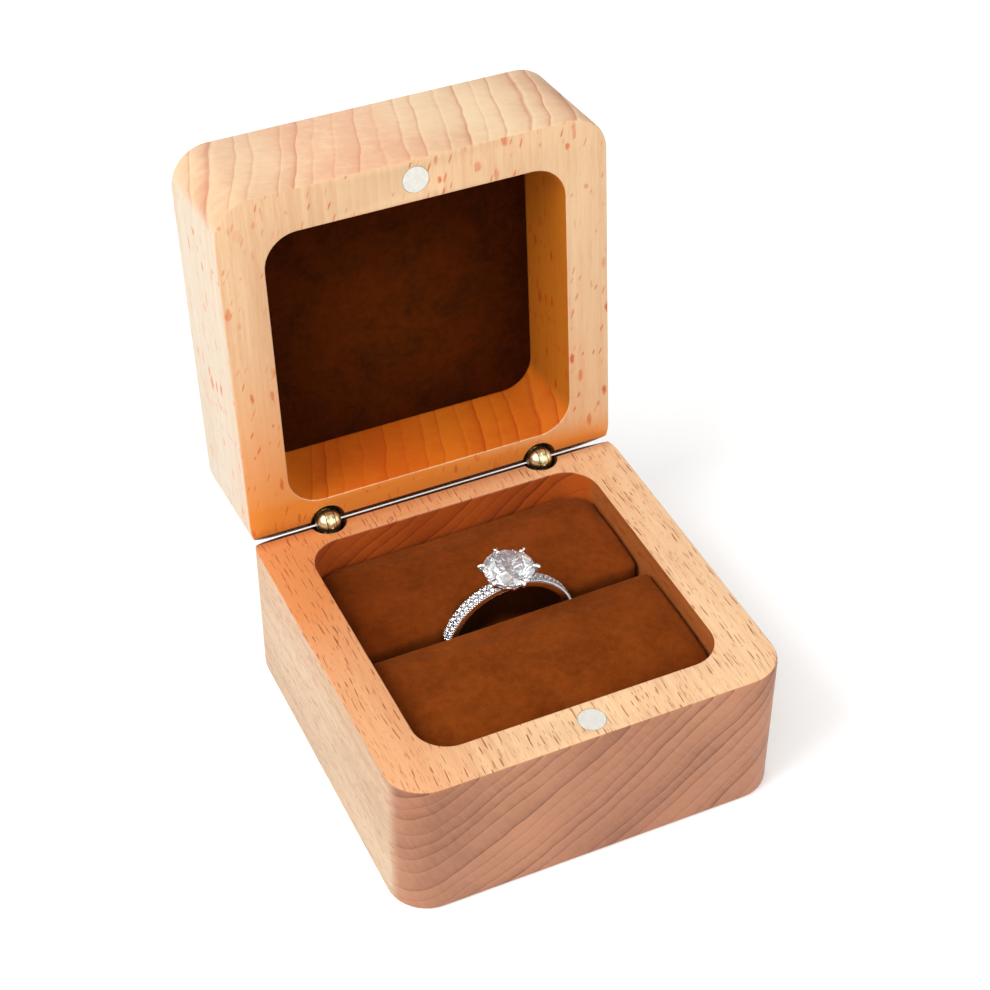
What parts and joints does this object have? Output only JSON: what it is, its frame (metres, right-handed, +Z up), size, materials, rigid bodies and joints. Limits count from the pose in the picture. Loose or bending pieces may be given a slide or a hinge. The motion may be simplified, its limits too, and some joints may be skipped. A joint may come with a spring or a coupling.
{
  "type": "ring box",
  "caption": "Wooden ring box with a hinged lid, magnetic closure and a slit velvet cushion that holds an engagement ring.",
  "frame": {"origin": "centre of the base's underside", "axes": "+Z up, -Y towards the front where the magnets are, +Y towards the hinges, +X to the right"},
  "size_m": [0.06, 0.0809, 0.0805],
  "materials": {
    "beech": "fine sanded beech, lightly oiled, grain front to back",
    "magnet_nickel": "nickel-plated disc magnet, satin",
    "card": "plain greyboard",
    "cushion_foam": "soft upholstery foam",
    "cushion_velvet": "short-pile saddle-brown velvet",
    "lining_velvet": "short-pile dark brown velvet",
    "hinge_brass": "polished brass",
    "white_gold": "polished white gold",
    "diamond": "clear faceted brilliant"
  },
  "bodies": {
    "base": {"base_block": "beech", "base_magnet": "magnet_nickel", "cushion_card": "card", "front_cushion_foam": "cushion_foam", "front_cushion_velvet": "cushion_velvet", "rear_cushion_foam": "cushion_foam", "rear_cushion_velvet": "cushion_velvet", "left_hinge_base_barrel": "hinge_brass", "right_hinge_base_barrel": "hinge_brass", "left_hinge_pin": "hinge_brass", "right_hinge_pin": "hinge_brass"},
    "lid": {"lid_block": "beech", "lid_magnet": "magnet_nickel", "lid_lining_card": "card", "lid_lining_velvet": "lining_velvet", "left_hinge_lid_barrel": "hinge_brass", "right_hinge_lid_barrel": "hinge_brass"},
    "ring": {"ring_shank": "white_gold", "ring_head": "white_gold", "ring_centre_stone": "diamond", "ring_pave_stones": "diamond"}
  },
  "joints": [
    {"name": "lid_hinge", "type": "hinge", "parent": "base", "child": "lid", "pos_m": [0, 0.0267, 0.02405], "axis": [-1, 0, 0], "range_deg": [-95.25, 0]},
    {"name": "ring_lift", "type": "slide", "parent": "base", "child": "ring", "axis": [0, 0, 1], "range_m": [0, 0.007]}
  ]
}
